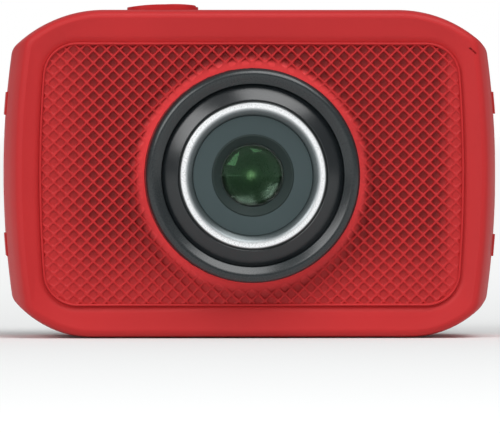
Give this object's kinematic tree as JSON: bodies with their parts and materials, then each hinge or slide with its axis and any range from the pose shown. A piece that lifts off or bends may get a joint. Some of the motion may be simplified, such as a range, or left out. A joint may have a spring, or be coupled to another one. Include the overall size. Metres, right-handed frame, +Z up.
{
  "type": "action camera",
  "caption": "Compact box-shaped action camera with a knurled front panel, round lens bezel, rear display, side keys, shutter button and hinged port door.",
  "frame": {"origin": "mouth of the tripod socket, on its axis, in the plane of the flat base", "axes": "+X to the right seen from the front, the lens looks along -Y, +Z up"},
  "size_m": [0.066, 0.0255, 0.0448],
  "materials": {
    "shell_red": "fine satin moulded plastic",
    "panel_red": "satin knurled moulding",
    "trim_black": "polished black",
    "cone_dark": "satin dark grey",
    "chrome": "bright plated",
    "plate_grey": "flat grey",
    "lens_glass": "green anti-reflection coating",
    "filter_glass": "polished",
    "black_plastic": "moulded",
    "rubber": "soft",
    "board_green": "solder mask",
    "chip_black": "moulded epoxy",
    "sensor": "polished",
    "port_steel": "drawn sheet",
    "battery_foil": "pouch foil",
    "flex_amber": "polyimide film",
    "display_dark": "polished",
    "window_glass": "black backed cover glass",
    "brass": "turned",
    "clear_light": "clear"
  },
  "bodies": {
    "case": {"front_shell": "shell_red", "rear_shell": "shell_red", "shell_gasket": "rubber", "front_panel": "panel_red", "lens_ring": "trim_black", "cone_ring": "cone_dark", "chrome_ring": "chrome", "lens_carrier": "black_plastic", "lens_plate": "plate_grey", "lens_hood": "trim_black", "front_lens": "lens_glass", "lens_barrel": "black_plastic", "middle_lens": "lens_glass", "aperture_stop": "black_plastic", "rear_lens": "lens_glass", "lens_holder": "black_plastic", "ir_filter": "filter_glass", "image_sensor": "sensor", "sensor_board": "board_green", "sensor_connector": "chip_black", "main_board": "board_green", "processor_shield": "port_steel", "memory_chips": "chip_black", "usb_port": "port_steel", "hdmi_port": "port_steel", "card_slot": "port_steel", "battery": "battery_foil", "battery_lead": "flex_amber", "display": "display_dark", "display_frame": "port_steel", "display_flex": "flex_amber", "screen_window": "window_glass", "button_surround": "shell_red", "shutter_switch": "chip_black", "key_bezel": "shell_red", "key_switches": "chip_black", "port_bezel": "shell_red", "door_pin": "port_steel", "tripod_insert": "brass", "shell_screws": "port_steel", "speaker": "black_plastic", "microphone": "port_steel", "status_lights": "clear_light"},
    "shutter": {"shutter_button": "shell_red"},
    "upper_key": {"key_upper": "shell_red"},
    "middle_key": {"key_middle": "shell_red"},
    "lower_key": {"key_lower": "shell_red"},
    "door": {"port_door": "shell_red", "door_seal": "rubber"}
  },
  "joints": [
    {"name": "shutter_press", "type": "slide", "parent": "case", "child": "shutter", "axis": [0, 0, -1], "range_m": [0, 0.0006], "stiffness_N_per_m": 400},
    {"name": "upper_key_press", "type": "slide", "parent": "case", "child": "upper_key", "axis": [1, 0, 0], "range_m": [0, 0.0004], "stiffness_N_per_m": 500},
    {"name": "middle_key_press", "type": "slide", "parent": "case", "child": "middle_key", "axis": [1, 0, 0], "range_m": [0, 0.0004], "stiffness_N_per_m": 500},
    {"name": "lower_key_press", "type": "slide", "parent": "case", "child": "lower_key", "axis": [1, 0, 0], "range_m": [0, 0.0004], "stiffness_N_per_m": 500},
    {"name": "port_door_open", "type": "hinge", "parent": "case", "child": "door", "pos_m": [0.03195, 0.0036, 0.02195], "axis": [0, 0, 1], "range_deg": [0, 90]}
  ]
}
